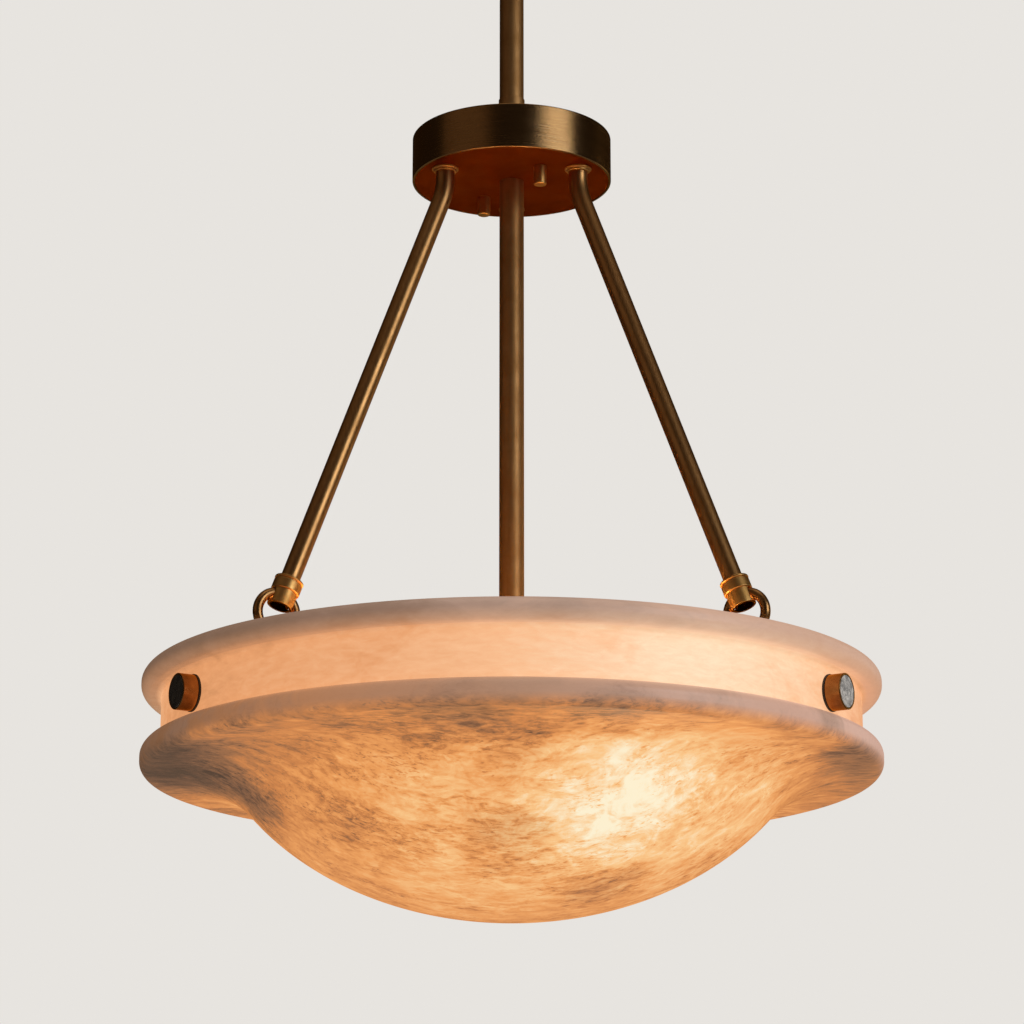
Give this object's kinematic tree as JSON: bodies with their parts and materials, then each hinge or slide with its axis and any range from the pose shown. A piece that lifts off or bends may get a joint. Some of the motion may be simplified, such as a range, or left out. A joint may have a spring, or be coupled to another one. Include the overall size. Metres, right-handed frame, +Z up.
{
  "type": "bowl pendant light",
  "caption": "Round stone bowl pendant lamp: a flanged collar and a glowing bowl hung by ring links from bent brass arms, a round brass hub and a central ceiling stem.",
  "frame": {"origin": "middle of the ceiling crossbar, on the plane that lies against the ceiling", "axes": "+Z up along the stem, into the ceiling; +X along the crossbar; the viewer of the picture is on the -Y side"},
  "size_m": [0.61, 0.61, 0.914],
  "materials": {
    "steel_zinc": "satin",
    "brass_brushed": "brushed, aged",
    "brass_plate": "polished, aged",
    "brass_tube": "satin, aged",
    "brass_turned": "polished, aged",
    "brass_rod": "satin, aged",
    "brass_strap": "satin, aged",
    "collar_stone": "honed",
    "bowl_stone": "honed",
    "bond": "cured adhesive",
    "rubber": "matte",
    "mirror_disc": "polished",
    "porcelain": "glazed",
    "bulb_glass": "frosted"
  },
  "bodies": {
    "ceiling": {"crossbar": "steel_zinc", "canopy": "brass_brushed", "canopy_screws": "steel_zinc", "canopy_nuts": "brass_turned"},
    "swivel": {"swivel_nipple": "brass_turned", "swivel_nut": "steel_zinc", "swivel_yoke": "brass_turned", "swivel_pin": "brass_turned"},
    "drop": {"swivel_tongue": "brass_turned", "upper_stem": "brass_tube", "stem_sleeve": "brass_tube", "hub_cover": "brass_brushed", "hub_plate": "brass_plate", "hub_core": "steel_zinc", "hub_strap": "steel_zinc", "hub_strap_nut": "steel_zinc", "hub_studs": "steel_zinc", "hub_cap_nuts": "brass_turned", "arm_1": "brass_tube", "arm_2": "brass_tube", "arm_3": "brass_tube", "arm_rosettes": "brass_turned", "arm_locknuts": "steel_zinc", "arm_ferrule_1": "brass_turned", "arm_ferrule_2": "brass_turned", "arm_ferrule_3": "brass_turned", "arm_cup_1": "brass_turned", "arm_cup_2": "brass_turned", "arm_cup_3": "brass_turned", "lower_stem": "brass_tube", "lamp_cluster": "brass_turned", "cluster_finial": "brass_turned", "lamp_nipples": "steel_zinc", "lamp_socket_1": "porcelain", "lamp_socket_2": "porcelain", "lamp_socket_3": "porcelain", "bulb_glass_1": "bulb_glass", "bulb_glass_2": "bulb_glass", "bulb_glass_3": "bulb_glass", "bulb_cap_1": "steel_zinc", "bulb_cap_2": "steel_zinc", "bulb_cap_3": "steel_zinc"},
    "ring_1": {"ring_link_1": "brass_rod"},
    "ring_2": {"ring_link_2": "brass_rod"},
    "ring_3": {"ring_link_3": "brass_rod"},
    "bowl": {"alabaster_collar": "collar_stone", "bond_ring": "bond", "alabaster_bowl": "bowl_stone", "hanger_bracket_1": "brass_strap", "hanger_bracket_2": "brass_strap", "hanger_bracket_3": "brass_strap", "bracket_pads": "rubber", "stud_washers": "rubber", "stud_button_1": "brass_turned", "stud_button_2": "brass_turned", "stud_button_3": "brass_turned", "stud_inserts": "mirror_disc", "stud_bolts": "steel_zinc", "bracket_washers": "steel_zinc", "bracket_nuts": "steel_zinc"}
  },
  "joints": [
    {"name": "canopy_turn", "type": "hinge", "parent": "ceiling", "child": "swivel", "pos_m": [0, 0, -0.0304], "axis": [0, 0, 1], "range_deg": [-170, 170]},
    {"name": "stem_tilt", "type": "hinge", "parent": "swivel", "child": "drop", "pos_m": [0, 0, -0.0549], "axis": [1, 0, 0], "range_deg": [-45, 45]},
    {"name": "bowl_twist", "type": "hinge", "parent": "drop", "child": "bowl", "pos_m": [0, 0, -0.7165], "axis": [0, 0, 1], "range_deg": [-1.2, 1.2]},
    {"name": "ring_1_swing", "type": "hinge", "parent": "drop", "child": "ring_1", "pos_m": [0.18393, -0.10619, -0.67158], "axis": [0.8065, -0.4657, 0.3642], "range_deg": [-9.2, 9.2]},
    {"name": "ring_2_swing", "type": "hinge", "parent": "drop", "child": "ring_2", "pos_m": [0, 0.21238, -0.67158], "axis": [0, 0.9313, 0.3642], "range_deg": [-9.2, 9.2]},
    {"name": "ring_3_swing", "type": "hinge", "parent": "drop", "child": "ring_3", "pos_m": [-0.18393, -0.10619, -0.67158], "axis": [-0.8065, -0.4657, 0.3642], "range_deg": [-9.2, 9.2]}
  ],
  "couplings": [
    {"joint": "ring_1_swing", "follows": "bowl_twist", "ratio": 7.5538},
    {"joint": "ring_2_swing", "follows": "bowl_twist", "ratio": 7.5538},
    {"joint": "ring_3_swing", "follows": "bowl_twist", "ratio": 7.5538}
  ]
}
